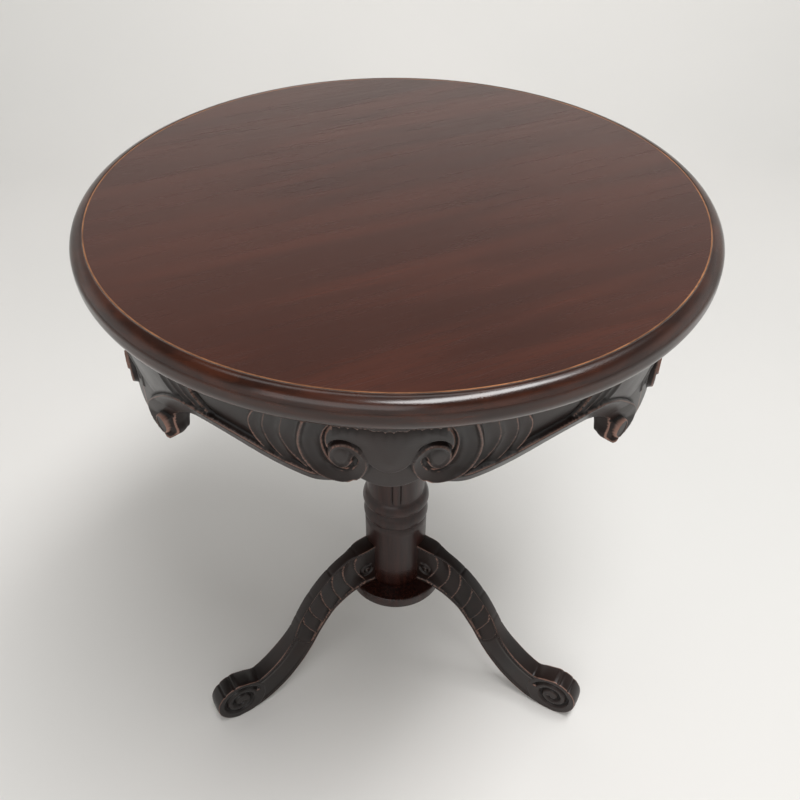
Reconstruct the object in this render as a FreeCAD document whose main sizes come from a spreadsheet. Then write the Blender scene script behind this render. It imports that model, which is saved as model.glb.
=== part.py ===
import FreeCAD, Part
import math
import os

import Sketcher
from FreeCAD import Placement, Rotation, Vector

# Round pedestal table: a veneered top in a half-round rim, a carved apron of three curved
# sections, a turned column and three S-curved legs. Sizes are in millimetres, +Z is up,
# and the origin is on the floor under the middle of the column.

DIMENSIONS = [
    ("table_height", 690, "floor to the face of the top"),
    ("top_radius", 300, "outer radius of the rim"),
    ("rim_thick", 31, "height of the half-round rim"),
    ("rim_inner_radius", 262, "inner radius of the rim's ledge"),
    ("rim_round_radius", 284.5, "radius where the rim's rounding meets its underside"),
    ("panel_radius", 285.9, "radius of the panel let into the rim"),
    ("inlay_width", 1.2, "width of the inlay line"),
    ("inlay_depth", 2, "depth of the inlay line"),
    ("veneer_thick", 0.8, "face and backing veneers"),
    ("core_thick", 18, "core of the panel"),
    ("spline_length", 22, "loose tongue, across the rim's radius"),
    ("spline_width", 18, "loose tongue, across the joint"),
    ("spline_thick", 3, "loose tongue, vertical"),
    ("spline_radius", 279, "middle of the loose tongues"),
    ("apron_top_radius", 281.5, "outer radius of the apron under the rim"),
    ("apron_slope", 0.23, "how far the apron leans in for each millimetre down"),
    ("apron_thick", 22, "apron, measured along the radius"),
    ("apron_bottom", 540, "lowest point of the apron's scrolls"),
    ("apron_angle", 120, "angle that one apron section covers"),
    ("apron_twist", -2.3, "turn of the apron against the legs"),
    ("block_depth", 37, "glue block, along the radius"),
    ("block_height", 28, "glue block, below the rim"),
    ("joint_block_angle", 16, "angle covered by the block behind an apron joint"),
    ("middle_block_angle", 11, "angle covered by the block behind the middle"),
    ("cleat_length", 340, "batten across the top"),
    ("cleat_width", 40, "batten across the top"),
    ("cleat_thick", 22, "batten across the top"),
    ("cleat_offset", 115, "batten's middle line from the middle of the top"),
    ("top_block_side", 180, "square block that takes the column"),
    ("top_block_thick", 30, "square block that takes the column"),
    ("tenon_radius", 20, "round tenon on top of the column"),
    ("wedge_top", 4, "width of the tenon's wedge at its top"),
    ("wedge_tip", 1.2, "width of the tenon's wedge at its tip"),
    ("wedge_depth", 22, "how deep the wedge goes"),
    ("drum_radius", 38.5, "plain lower part of the column"),
    ("column_bottom", 149, "foot of the column, on the base disc"),
    ("shaft_bottom", 298, "lower end of the tapered shaft"),
    ("shaft_top", 556, "upper end of the tapered shaft"),
    ("shaft_bottom_radius", 34.6, "tapered shaft"),
    ("shaft_top_radius", 43.5, "tapered shaft"),
    ("groove_width", 1.8, "incised line on the shaft"),
    ("groove_depth", 2.2, "incised line on the shaft"),
    ("groove_spread", 8, "half the angle between the two lines of a pair"),
    ("leg_thick", 24, "leg plank"),
    ("foot_radius", 33, "scroll at the end of the leg"),
    ("foot_reach", 240, "middle of the scroll from the column's axis"),
    ("foot_rise", 32, "middle of the scroll above the floor"),
    ("dovetail_root", 24, "inner end of the leg's dovetail, from the axis"),
    ("dovetail_wide", 8.5, "half the dovetail's width at its inner end"),
    ("dovetail_neck", 6, "half the dovetail's width at the drum"),
    ("dovetail_top", 208, "upper end of the dovetail, above the floor"),
    ("disc_radius", 61.4, "base disc"),
    ("disc_thick", 15, "base disc"),
    ("screw_radius", 2, "wood screw shank"),
    ("screw_head", 4.2, "wood screw head radius"),
    ("screw_sink", 2.4, "height of the countersunk head"),
    ("screw_top", 684, "where the screws into the top end"),
    ("disc_screw_top", 176, "where the base disc's screws end"),
]

# Corners of the ring stack on the column, from the drum's shoulder up to the shaft:
# radius, height and the point that each rounded piece passes through on its way there.
RING_STACK = [
    (38.5, 244, None),
    (34.5, 256, (37.6, 251)),
    (34.5, 258, None),
    (39.6, 259, None),
    (35.2, 275, (38.9, 268)),
    (34.8, 281, None),
    (40.6, 282.5, None),
    (35.6, 297, (39.6, 291)),
]

# Outline of the leg above and below, as distance from the axis and height.
LEG_UPPER = [
    (228, 61.5), (213, 57.5), (198, 65), (184, 76), (170, 90.5), (157, 109), (146, 132),
    (134, 153), (120, 171), (105, 186.5), (88, 199), (72, 207.5), (55, 213.5),
]
LEG_LOWER = [
    (76, 143), (95, 131), (108, 116), (121, 97), (134, 74.5), (150, 52), (170, 30.5),
    (193, 13.5), (214, 4),
]

# Lower edge of one apron section from its middle out to where the end scroll hangs, as the
# angle from the middle of the section and the height above the floor.
APRON_MIDDLE = [(0, 567), (2.2, 569), (4.2, 574.5), (6.1, 581.5)]
APRON_BAND = [
    (7.6, 575.5), (10, 571), (12.8, 570), (16, 573.5), (20, 580.5), (25, 590), (29, 597),
    (33, 601),
]
APRON_HOOK = [(36, 601), (39, 598), (42, 590.5), (44.5, 582), (46.6, 574)]
APRON_SCROLL = [
    (46.2, 565), (45.6, 557), (46.4, 551.5), (48.4, 548.3), (51.5, 544.5), (55, 541.2), (58, 540),
]
HOOK_ANGLE = 42

SIDES = 3
RIM_SEGMENTS = 4
FRONT = -90
CLEAR = 30

doc = FreeCAD.newDocument("pedestal_table")
dims = doc.addObject("Spreadsheet::Sheet", "dims")
kept = []


def fill_sheet():
    for row, (alias, number, words) in enumerate(DIMENSIONS, 1):
        dims.set(f"A{row}", words)
        dims.set(f"B{row}", str(number))
        dims.setAlias(f"B{row}", alias)
    doc.recompute()


def value(expression):
    return float(dims.evalExpression(expression))


def keep(node, label):
    """Label the object as one of the table's pieces."""
    node.Label = label
    kept.append(node)
    return node


def turn(angle, lift=0):
    """A turn about the table's axis, after a lift along it."""
    return Placement(Vector(0, 0, lift), Rotation(Vector(0, 0, 1), angle))


def new_body(name):
    return doc.addObject("PartDesign::Body", name)


def body_plane(body, role):
    for feature in body.Origin.OriginFeatures:
        if feature.Role == role:
            return feature
    raise ValueError(role)


def new_sketch(body, name, role, offset=None):
    sketch = body.newObject("Sketcher::SketchObject", name)
    sketch.AttachmentSupport = [(body_plane(body, role), "")]
    sketch.MapMode = "FlatFace"
    if offset:
        sketch.AttachmentOffset = offset
    return sketch


def pin_point(sketch, geometry, end, corner):
    """Hold one end of a piece of geometry at a corner given by two expressions."""
    for kind, expression in zip(("DistanceX", "DistanceY"), corner):
        constraint = Sketcher.Constraint(kind, -1, 1, geometry, end, value(expression))
        index = sketch.addConstraint(constraint)
        sketch.setExpression(f"Constraints[{index}]", expression)


def outline(sketch, start, pieces):
    """Draw a closed outline.

    Each piece is (corner, via): it runs from the last corner to its own, straight when via
    is None, as an arc through one point, or as a smooth curve through a list of points.
    Corners are pairs of expressions.
    """
    corners = [start] + [corner for corner, via in pieces]
    spots = [Vector(value(across), value(up), 0) for across, up in corners]
    ends = []
    for index, (corner, via) in enumerate(pieces):
        first = spots[index]
        last = spots[index + 1]
        if via is None:
            shape = Part.LineSegment(first, last)
        elif isinstance(via, tuple):
            shape = Part.Arc(first, Vector(via[0], via[1], 0), last)
        else:
            shape = Part.BSplineCurve()
            shape.interpolate([first] + [Vector(x, y, 0) for x, y in via] + [last])
        geometry = sketch.addGeometry(shape, False)
        forward = sketch.getPoint(geometry, 1).distanceToPoint(first) < 1e-6
        ends.append((geometry, 1 if forward else 2, 2 if forward else 1))
        if isinstance(via, tuple):
            radius = sketch.Geometry[geometry].Radius
            sketch.addConstraint(Sketcher.Constraint("Radius", geometry, radius))
    for index, (geometry, first_end, last_end) in enumerate(ends):
        pin_point(sketch, geometry, first_end, corners[index])
        following = ends[(index + 1) % len(ends)]
        sketch.addConstraint(
            Sketcher.Constraint("Coincident", geometry, last_end, following[0], following[1])
        )


def polygon(sketch, corners):
    outline(sketch, corners[0], [(corner, None) for corner in corners[1:] + corners[:1]])


def revolve(body, sketch, angle=None):
    """Turn a sketch about the table's axis, all the way or over an angle about its plane."""
    feature = body.newObject("PartDesign::Revolution", "turned")
    feature.Profile = sketch
    feature.ReferenceAxis = (sketch, ["V_Axis"])
    if angle:
        feature.Midplane = True
        feature.setExpression("Angle", angle)
    return feature


def pad(body, sketch, length, both_ways=False):
    feature = body.newObject("PartDesign::Pad", "pad")
    feature.Profile = sketch
    feature.Midplane = both_ways
    feature.setExpression("Length", length)
    return feature


def pocket(body, sketch, length, both_ways=False, forwards=False):
    feature = body.newObject("PartDesign::Pocket", "pocket")
    feature.Profile = sketch
    feature.Midplane = both_ways
    feature.Reversed = forwards
    feature.setExpression("Length", length)
    return feature


def round_the_axis(body, features):
    """Repeat features at the three legs or between them."""
    pattern = body.newObject("PartDesign::PolarPattern", "pattern")
    pattern.Originals = features
    pattern.Axis = (body_plane(body, "Z_Axis"), [""])
    pattern.Angle = 360
    pattern.Occurrences = SIDES
    body.Tip = pattern
    return pattern


def cylinder(name, radius, height, bottom):
    solid = doc.addObject("Part::Cylinder", name)
    solid.setExpression("Radius", radius)
    solid.setExpression("Height", height)
    solid.setExpression("Placement.Base.z", bottom)
    return solid


def box(name, length, width, height, bottom, offset="0"):
    """A block centred on the table's axis, or moved along Y."""
    solid = doc.addObject("Part::Box", name)
    solid.setExpression("Length", length)
    solid.setExpression("Width", width)
    solid.setExpression("Height", height)
    solid.setExpression("Placement.Base.x", f"-({length}) / 2")
    solid.setExpression("Placement.Base.y", f"{offset} - ({width}) / 2")
    solid.setExpression("Placement.Base.z", bottom)
    return solid


def cut(name, base, tool):
    result = doc.addObject("Part::Cut", name)
    result.Base = base
    result.Tool = tool
    return result


def fixed_shape(name, solids, placement=Placement()):
    """Identical pieces in one node, as separate solids."""
    feature = doc.addObject("Part::Feature", name)
    feature.Shape = Part.makeCompound(solids)
    feature.Placement = placement
    return feature


# Heights of the layers of the top, as expressions
TOP = "dims.table_height"
RIM_BOTTOM = f"{TOP} - dims.rim_thick"
CORE_TOP = f"{TOP} - dims.veneer_thick"
CORE_BOTTOM = f"{CORE_TOP} - dims.core_thick"
LEDGE = f"{CORE_BOTTOM} - dims.veneer_thick"
INLAY_BOTTOM = f"{TOP} - dims.inlay_depth"
INLAY_RADIUS = "dims.panel_radius + dims.inlay_width"
BLOCK_BOTTOM = f"{RIM_BOTTOM} - dims.block_height"
CLEAT_BOTTOM = f"{LEDGE} - dims.cleat_thick"
TOP_BLOCK_BOTTOM = f"{LEDGE} - dims.top_block_thick"
DISC_BOTTOM = "dims.column_bottom - dims.disc_thick"
TENON_TOP = f"{LEDGE} - 2"


def apron_radius(height):
    """Outer radius of the apron at a height above the floor, as an expression."""
    return f"dims.apron_top_radius - dims.apron_slope * ({RIM_BOTTOM} - ({height}))"


def screw(length):
    """A countersunk wood screw that stands on its head at the origin, with a short point."""
    shank_radius = value("dims.screw_radius")
    head_radius = value("dims.screw_head")
    sink = value("dims.screw_sink")
    point = 2 * shank_radius
    up = Vector(0, 0, 1)
    head = Part.makeCone(head_radius, shank_radius, sink)
    shank = Part.makeCylinder(shank_radius, length - sink - point, Vector(0, 0, sink), up)
    tip = Part.makeCone(shank_radius, 0.3, point, Vector(0, 0, length - point), up)
    return head.fuse([shank, tip]).removeSplitter()


def screw_group(label, spots, bottom, top):
    """Screws that stand at the given x, y places, from one height up to another."""
    start = value(bottom)
    length = value(top) - start
    screws = []
    for across, along in spots:
        one = screw(length)
        one.translate(Vector(across, along, start))
        screws.append(one)
    return keep(fixed_shape(label, screws), label)


def ring_spots(radius, angles):
    return [
        (radius * math.cos(math.radians(angle)), radius * math.sin(math.radians(angle)))
        for angle in angles
    ]


def section_angles():
    """Directions of the middles of the three apron sections."""
    first = FRONT + value("dims.apron_twist")
    return [first + side * 360 / SIDES for side in range(SIDES)]


def joint_angles():
    return [angle + 180 / SIDES for angle in section_angles()]


def apron_screw_spots():
    radius = value("dims.apron_top_radius - dims.apron_thick - dims.block_depth / 2")
    angles = [joint + side for joint in joint_angles() for side in (-5, 5)]
    angles += [middle + side for middle in section_angles() for side in (-3, 3)]
    return ring_spots(radius, angles)


def cleat_screw_spots():
    reach = value("dims.cleat_length / 2 - 30")
    offset = value("dims.cleat_offset")
    columns = (-reach, -reach / 3, reach / 3, reach)
    return [(across, side * offset) for side in (-1, 1) for across in columns]


def top_block_screw_spots():
    reach = value("dims.top_block_side / 2 - 20")
    return [(across * reach, along * reach) for across in (-1, 1) for along in (-1, 1)]


def make_screws():
    """All four groups of screws. The first three end inside the core of the top."""
    apron = screw_group("apron_screws", apron_screw_spots(), BLOCK_BOTTOM, "dims.screw_top")
    cleats = screw_group("cleat_screws", cleat_screw_spots(), CLEAT_BOTTOM, "dims.screw_top")
    block_spots = top_block_screw_spots()
    block = screw_group("top_block_screws", block_spots, TOP_BLOCK_BOTTOM, "dims.screw_top")
    disc_spots = ring_spots(value("dims.drum_radius * 0.7"), [FRONT, FRONT + 120, FRONT + 240])
    disc = screw_group("base_disc_screws", disc_spots, DISC_BOTTOM, "dims.disc_screw_top")
    into_top = doc.addObject("Part::Compound", "screws_into_top")
    into_top.Links = [apron, cleats, block]
    return apron, cleats, block, disc, into_top


def make_panel(into_top):
    """Face veneer, core and backing veneer, and the inlay line round them."""
    radius = "dims.panel_radius"
    keep(cylinder("face", radius, "dims.veneer_thick", CORE_TOP), "top_veneer")
    core = cylinder("core", radius, "dims.core_thick", CORE_BOTTOM)
    keep(cut("drilled_core", core, into_top), "top_core")
    backing = cylinder("backing", radius, "dims.veneer_thick", LEDGE)
    keep(cut("drilled_backing", backing, into_top), "backing_veneer")
    line = cylinder("inlay_outside", INLAY_RADIUS, "dims.inlay_depth", INLAY_BOTTOM)
    hole = cylinder("inlay_inside", radius, "dims.inlay_depth", INLAY_BOTTOM)
    keep(cut("inlay_ring", line, hole), "inlay_stringing")


def make_rim():
    """Four sectors of the rim, joined end to end with loose tongues."""
    tongues = []
    length = value("dims.spline_length")
    width = value("dims.spline_width")
    thick = value("dims.spline_thick")
    middle = value(f"({RIM_BOTTOM} + {LEDGE}) / 2")
    joint = 360 / RIM_SEGMENTS
    for index in range(RIM_SEGMENTS):
        corner = Vector(value("dims.spline_radius") - length / 2, -width / 2, middle - thick / 2)
        tongue = Part.makeBox(length, width, thick, corner)
        tongue.rotate(Vector(), Vector(0, 0, 1), (index + 0.5) * joint)
        tongues.append(tongue)
    splines = keep(fixed_shape("tongues", tongues), "rim_splines")
    for index in range(RIM_SEGMENTS):
        body = new_body(f"rim_blank_{index + 1}")
        sketch = new_sketch(body, f"rim_section_{index + 1}", "XZ_Plane")
        widest = (value("dims.top_radius"), value(f"{TOP} - dims.rim_thick / 2"))
        pieces = [
            (("dims.rim_round_radius", RIM_BOTTOM), None),
            ((INLAY_RADIUS, TOP), widest),
            ((INLAY_RADIUS, INLAY_BOTTOM), None),
            (("dims.panel_radius", INLAY_BOTTOM), None),
            (("dims.panel_radius", LEDGE), None),
            (("dims.rim_inner_radius", LEDGE), None),
            (("dims.rim_inner_radius", RIM_BOTTOM), None),
        ]
        outline(sketch, ("dims.rim_inner_radius", RIM_BOTTOM), pieces)
        revolve(body, sketch, f"360 / {RIM_SEGMENTS}")
        body.Placement = turn(index * joint)
        keep(cut(f"slotted_rim_{index + 1}", body, splines), f"rim_segment_{index + 1}")


def on_apron(points, facing=0):
    """Points given as angle and height, moved onto a flat plane that faces one direction."""
    flat = []
    for angle, height in points:
        radius = value(apron_radius(height))
        flat.append((radius * math.sin(math.radians(angle - facing)), height))
    return flat


def as_corner(point):
    return (f"{point[0]:.3f}", f"{point[1]:.3f}")


def cut_middle_edge(body):
    """Shape the lower edge of an apron section, as seen from straight in front."""
    sketch = new_sketch(body, "middle_edge", "YZ_Plane")
    band = on_apron(APRON_BAND)
    middle = on_apron(APRON_MIDDLE)
    below = f"dims.apron_bottom - {CLEAR}"
    mirrored_band = [(-across, up) for across, up in band]
    mirrored_middle = [(-across, up) for across, up in middle]
    arch = mirrored_middle[-2:0:-1] + middle[:-1]
    pieces = [
        (as_corner(mirrored_band[-1]), None),
        (as_corner(mirrored_middle[-1]), mirrored_band[-2::-1]),
        (as_corner(middle[-1]), arch),
        (as_corner(band[-1]), band[:-1]),
        ((as_corner(band[-1])[0], below), None),
        ((as_corner(mirrored_band[-1])[0], below), None),
    ]
    outline(sketch, (as_corner(mirrored_band[-1])[0], below), pieces)
    pocket(body, sketch, "dims.top_radius + 10", forwards=True)


def cut_end_edge(body, side):
    """Shape the lower edge beside one hanging scroll, square to the panel there."""
    facing = Placement(Vector(), Rotation(Vector(0, 1, 0), side * HOOK_ANGLE))
    sketch = new_sketch(body, "end_edge", "YZ_Plane", facing)
    hook = [(side * across, up) for across, up in on_apron(APRON_HOOK, HOOK_ANGLE)]
    scroll = [(side * across, up) for across, up in on_apron(APRON_SCROLL, HOOK_ANGLE)]
    inner = (side * on_apron(APRON_BAND[-1:], HOOK_ANGLE)[0][0], APRON_BAND[-1][1])
    below = f"dims.apron_bottom - {CLEAR}"
    pieces = [
        (as_corner(inner), None),
        (as_corner(hook[-1]), hook[:-1]),
        (as_corner(scroll[-1]), scroll[:-1]),
        ((as_corner(scroll[-1])[0], below), None),
        ((as_corner(inner)[0], below), None),
    ]
    outline(sketch, (as_corner(inner)[0], below), pieces)
    pocket(body, sketch, "dims.top_radius + 10", forwards=True)


def make_apron():
    """Three curved sections, each a sector of a cone with a shaped lower edge."""
    for name, angle in zip(("front", "right", "left"), section_angles()):
        body = new_body(f"apron_{name}_body")
        sketch = new_sketch(body, f"apron_section_{name}", "XZ_Plane")
        low = apron_radius("dims.apron_bottom")
        corners = [
            (low, "dims.apron_bottom"),
            ("dims.apron_top_radius", RIM_BOTTOM),
            ("dims.apron_top_radius - dims.apron_thick", RIM_BOTTOM),
            (f"{low} - dims.apron_thick", "dims.apron_bottom"),
        ]
        polygon(sketch, corners)
        revolve(body, sketch, "dims.apron_angle")
        cut_middle_edge(body)
        cut_end_edge(body, 1)
        cut_end_edge(body, -1)
        body.Placement = turn(angle)
        keep(body, f"apron_{name}")


def make_glue_blocks(screws):
    """Blocks behind the apron's joints and behind the middle of each section."""
    kinds = [
        ("joint_block", joint_angles(), "dims.joint_block_angle"),
        ("middle_block", section_angles(), "dims.middle_block_angle"),
    ]
    for label, angles, spread in kinds:
        for index, angle in enumerate(angles, 1):
            body = new_body(f"{label}_blank_{index}")
            sketch = new_sketch(body, f"{label}_section_{index}", "XZ_Plane")
            inside = "dims.apron_top_radius - dims.apron_thick - dims.block_depth"
            corners = [
                (inside, BLOCK_BOTTOM),
                (f"{apron_radius(BLOCK_BOTTOM)} - dims.apron_thick", BLOCK_BOTTOM),
                ("dims.apron_top_radius - dims.apron_thick", RIM_BOTTOM),
                ("dims.apron_top_radius - dims.apron_thick", LEDGE),
                (inside, LEDGE),
            ]
            polygon(sketch, corners)
            revolve(body, sketch, spread)
            body.Placement = turn(angle)
            keep(cut(f"{label}_drilled_{index}", body, screws), f"{label}_{index}")


def make_cleats(screws):
    for name, side in (("front", "-"), ("back", "")):
        blank = box(
            f"cleat_{name}_blank", "dims.cleat_length", "dims.cleat_width",
            "dims.cleat_thick", CLEAT_BOTTOM, f"{side}dims.cleat_offset",
        )
        keep(cut(f"cleat_{name}_drilled", blank, screws), f"cleat_{name}")


def make_top_block(screws):
    """Square block with a round hole for the column's tenon."""
    side = "dims.top_block_side"
    blank = box("top_block_blank", side, side, "dims.top_block_thick", TOP_BLOCK_BOTTOM)
    hole = cylinder("top_block_hole", "dims.tenon_radius", "dims.top_block_thick", TOP_BLOCK_BOTTOM)
    bored = cut("top_block_bored", blank, hole)
    keep(cut("top_block_drilled", bored, screws), "top_block")


def column_profile(body):
    """Half section of the column, from its foot up to the top of its tenon."""
    sketch = new_sketch(body, "column_section", "XZ_Plane")
    stack = [((str(radius), str(height)), via) for radius, height, via in RING_STACK]
    collar = value("dims.shaft_top")
    pieces = [
        (("dims.drum_radius", "dims.column_bottom"), None),
        (("dims.drum_radius", stack[0][0][1]), None),
        *stack[1:],
        (("dims.shaft_bottom_radius", "dims.shaft_bottom"), None),
        (("dims.shaft_top_radius", "dims.shaft_top"), None),
        (("dims.shaft_top_radius", "dims.shaft_top + 16"), (50, collar + 8)),
        (("dims.shaft_top_radius - 3", "dims.shaft_top + 26"), None),
        (("dims.shaft_top_radius + 10", TOP_BLOCK_BOTTOM), (44, value(TOP_BLOCK_BOTTOM) - 30)),
        (("dims.tenon_radius", TOP_BLOCK_BOTTOM), None),
        (("dims.tenon_radius", TENON_TOP), None),
        (("0", TENON_TOP), None),
        (("0", "dims.column_bottom"), None),
    ]
    outline(sketch, ("0", "dims.column_bottom"), pieces)
    return revolve(body, sketch)


def dovetail(sketch, outer):
    """Plan of a dovetail that points along +X, narrowest at the drum's face."""
    corners = [
        ("dims.dovetail_root", "-dims.dovetail_wide"),
        (outer, "-dims.dovetail_neck"),
        (outer, "dims.dovetail_neck"),
        ("dims.dovetail_root", "dims.dovetail_wide"),
    ]
    polygon(sketch, corners)


def column_grooves(body, angle):
    """One incised line down the tapered shaft, at an angle round it."""
    facing = Placement(Vector(), Rotation(Vector(0, 1, 0), angle))
    sketch = new_sketch(body, "groove_side", "XZ_Plane", facing)
    low = "dims.shaft_bottom + 3"
    high = "dims.shaft_top - 3"
    taper = "(dims.shaft_top_radius - dims.shaft_bottom_radius)"
    corners = [
        ("dims.shaft_bottom_radius - dims.groove_depth", low),
        ("dims.shaft_bottom_radius + 3", low),
        (f"dims.shaft_bottom_radius + {taper} + 3", high),
        (f"dims.shaft_bottom_radius + {taper} - dims.groove_depth", high),
    ]
    polygon(sketch, corners)
    return pocket(body, sketch, "dims.groove_width", both_ways=True)


def wedge_section(sketch):
    corners = [
        ("-dims.wedge_top / 2", TENON_TOP),
        ("-dims.wedge_tip / 2", f"{TENON_TOP} - dims.wedge_depth"),
        ("dims.wedge_tip / 2", f"{TENON_TOP} - dims.wedge_depth"),
        ("dims.wedge_top / 2", TENON_TOP),
    ]
    polygon(sketch, corners)


def make_column(disc_screws):
    body = new_body("column_body")
    column_profile(body)
    kerf = new_sketch(body, "kerf_section", "XZ_Plane")
    wedge_section(kerf)
    pocket(body, kerf, "2 * dims.tenon_radius + 2", both_ways=True)
    foot = Placement(Vector(0, 0, value("dims.column_bottom")), Rotation())
    plan = new_sketch(body, "socket_plan", "XY_Plane", foot)
    dovetail(plan, "dims.drum_radius")
    depth = "dims.dovetail_top - dims.column_bottom"
    socket = pocket(body, plan, depth, forwards=True)
    spread = value("dims.groove_spread")
    between_legs = 180 / SIDES
    lines = [column_grooves(body, between_legs + side * spread) for side in (-1, 1)]
    round_the_axis(body, [socket] + lines)
    body.Placement = turn(90)
    keep(cut("column_drilled", body, disc_screws), "column")


def make_tenon_wedge():
    body = new_body("wedge_body")
    section = new_sketch(body, "wedge_section", "XZ_Plane")
    wedge_section(section)
    pad(body, section, "2 * dims.tenon_radius - 0.5", both_ways=True)
    body.Placement = turn(90)
    keep(body, "tenon_wedge")


def make_legs():
    """Three planks sawn to an S-curve, coped to the column, each with a dovetail."""
    for name, angle in (("front_right", -30), ("back", 90), ("front_left", 210)):
        body = new_body(f"leg_{name}_body")
        side = new_sketch(body, f"leg_side_{name}", "XZ_Plane")
        flat = "sqrt(dims.foot_radius ^ 2 - dims.foot_rise ^ 2)"
        toe = (value("dims.foot_reach + dims.foot_radius"), value("dims.foot_rise"))
        crown = "dims.foot_rise + dims.foot_radius"
        pieces = [
            (("dims.disc_radius - 2", "dims.column_bottom"), None),
            ((f"dims.foot_reach - {flat}", "0"), LEG_LOWER),
            ((f"dims.foot_reach + {flat}", "0"), None),
            (("dims.foot_reach", crown), toe),
            (("dims.dovetail_root + 6", "dims.dovetail_top + 9"), LEG_UPPER),
            (("dims.dovetail_root + 6", "dims.column_bottom"), None),
        ]
        outline(side, ("dims.dovetail_root + 6", "dims.column_bottom"), pieces)
        pad(body, side, "dims.leg_thick", both_ways=True)
        plan = new_sketch(body, f"leg_cope_{name}", "XY_Plane")
        plan.addGeometry(Part.Circle(Vector(), Vector(0, 0, 1), value("dims.drum_radius")))
        plan.addConstraint(Sketcher.Constraint("Coincident", 0, 3, -1, 1))
        index = plan.addConstraint(Sketcher.Constraint("Radius", 0, value("dims.drum_radius")))
        plan.setExpression(f"Constraints[{index}]", "dims.drum_radius")
        pocket(body, plan, "dims.table_height", forwards=True)
        foot = Placement(Vector(0, 0, value("dims.column_bottom")), Rotation())
        tongue = new_sketch(body, f"leg_tongue_{name}", "XY_Plane", foot)
        dovetail(tongue, "dims.drum_radius")
        pad(body, tongue, "dims.dovetail_top - dims.column_bottom")
        body.Placement = turn(angle)
        keep(body, f"leg_{name}")


def make_base_disc(disc_screws):
    body = new_body("disc_body")
    sketch = new_sketch(body, "disc_section", "XZ_Plane")
    shoulder = (value("dims.disc_radius - 1.4"), value("dims.column_bottom - 1.6"))
    pieces = [
        (("dims.disc_radius - 1.5", DISC_BOTTOM), None),
        (("dims.disc_radius", f"{DISC_BOTTOM} + 2"), None),
        (("dims.disc_radius", "dims.column_bottom - 5"), None),
        (("dims.disc_radius - 5", "dims.column_bottom"), shoulder),
        (("0", "dims.column_bottom"), None),
        (("0", DISC_BOTTOM), None),
    ]
    outline(sketch, ("0", DISC_BOTTOM), pieces)
    revolve(body, sketch)
    keep(cut("disc_drilled", body, disc_screws), "base_disc")


def check_model():
    """Stop if any object failed, or if a piece has no sound shape."""
    for node in doc.Objects:
        if "Invalid" in node.State or "Error" in node.State:
            raise RuntimeError(f"{node.Name} failed: {node.State}")
    for node in kept:
        if node.Shape.isNull() or not node.Shape.isValid():
            raise RuntimeError(f"{node.Label} has no valid shape")
        solids = len(node.Shape.Solids)
        print(f"{node.Label}: {solids} solid(s), {node.Shape.Volume / 1000:.1f} cm3")


def write_steps():
    os.makedirs("parts", exist_ok=True)
    for node in kept:
        node.Shape.exportStep(f"parts/{node.Label}.step")


fill_sheet()
apron_screws, cleat_screws, block_screws, disc_screws, into_top = make_screws()
make_panel(into_top)
make_rim()
make_apron()
make_glue_blocks(apron_screws)
make_cleats(cleat_screws)
make_top_block(block_screws)
make_column(disc_screws)
make_tenon_wedge()
make_legs()
make_base_disc(disc_screws)
doc.recompute()
check_model()
write_steps()
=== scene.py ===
import math

import bmesh
import bpy
import numpy as np
from mathutils import Euler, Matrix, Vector
from mathutils.geometry import delaunay_2d_cdt


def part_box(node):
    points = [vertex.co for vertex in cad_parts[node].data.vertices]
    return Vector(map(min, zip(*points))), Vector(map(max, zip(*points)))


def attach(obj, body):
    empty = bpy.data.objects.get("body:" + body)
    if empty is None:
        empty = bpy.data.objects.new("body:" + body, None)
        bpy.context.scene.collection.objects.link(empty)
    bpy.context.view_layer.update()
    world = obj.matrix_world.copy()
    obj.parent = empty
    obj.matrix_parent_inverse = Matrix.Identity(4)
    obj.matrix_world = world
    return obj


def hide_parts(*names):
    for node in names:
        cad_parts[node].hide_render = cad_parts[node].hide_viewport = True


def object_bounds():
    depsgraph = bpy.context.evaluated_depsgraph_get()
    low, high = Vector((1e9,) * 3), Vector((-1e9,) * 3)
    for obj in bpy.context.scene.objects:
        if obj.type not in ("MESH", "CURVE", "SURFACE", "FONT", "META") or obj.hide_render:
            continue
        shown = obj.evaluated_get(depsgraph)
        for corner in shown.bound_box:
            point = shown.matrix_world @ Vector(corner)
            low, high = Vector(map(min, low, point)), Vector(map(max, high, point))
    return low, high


# Looks of the round pedestal table. Lengths here are millimetres and angles are degrees unless
# a name says otherwise. Every mesh is scaled to metres when it is made.

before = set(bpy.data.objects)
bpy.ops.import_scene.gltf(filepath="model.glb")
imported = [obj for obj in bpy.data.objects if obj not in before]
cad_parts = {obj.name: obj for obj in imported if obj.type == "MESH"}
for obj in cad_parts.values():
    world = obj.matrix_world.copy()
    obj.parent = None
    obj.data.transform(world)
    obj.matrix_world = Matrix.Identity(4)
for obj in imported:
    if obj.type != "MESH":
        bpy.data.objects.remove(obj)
cad_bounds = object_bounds()
MM = 0.001


# ---- sizes taken from the frame

def span(node, axis, end):
    """One coordinate of a CAD node's box, in millimetres. End 0 is low and 1 is high."""
    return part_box(node)[end][axis] / MM


TABLE_TOP = cad_bounds[1][2] / MM
RIM_RADIUS = cad_bounds[1][0] / MM
RIM_BOTTOM = span("rim_segment_1", 2, 0)
LEDGE = span("backing_veneer", 2, 0)
INLAY_RADIUS = span("inlay_stringing", 0, 1)
INLAY_BOTTOM = span("inlay_stringing", 2, 0)
APRON_BOTTOM = span("apron_front", 2, 0)
APRON_TOP = span("apron_front", 2, 1)
COLUMN_BOTTOM = span("column", 2, 0)
COLUMN_TOP = span("column", 2, 1)
BLOCK_BOTTOM = span("top_block", 2, 0)
DISC_RADIUS = span("base_disc", 0, 1)
DISC_BOTTOM = span("base_disc", 2, 0)
LEG_HALF = (span("leg_back", 0, 1) - span("leg_back", 0, 0)) / 2
FOOT_REACH = span("leg_back", 1, 1)


# ---- curves

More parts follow.
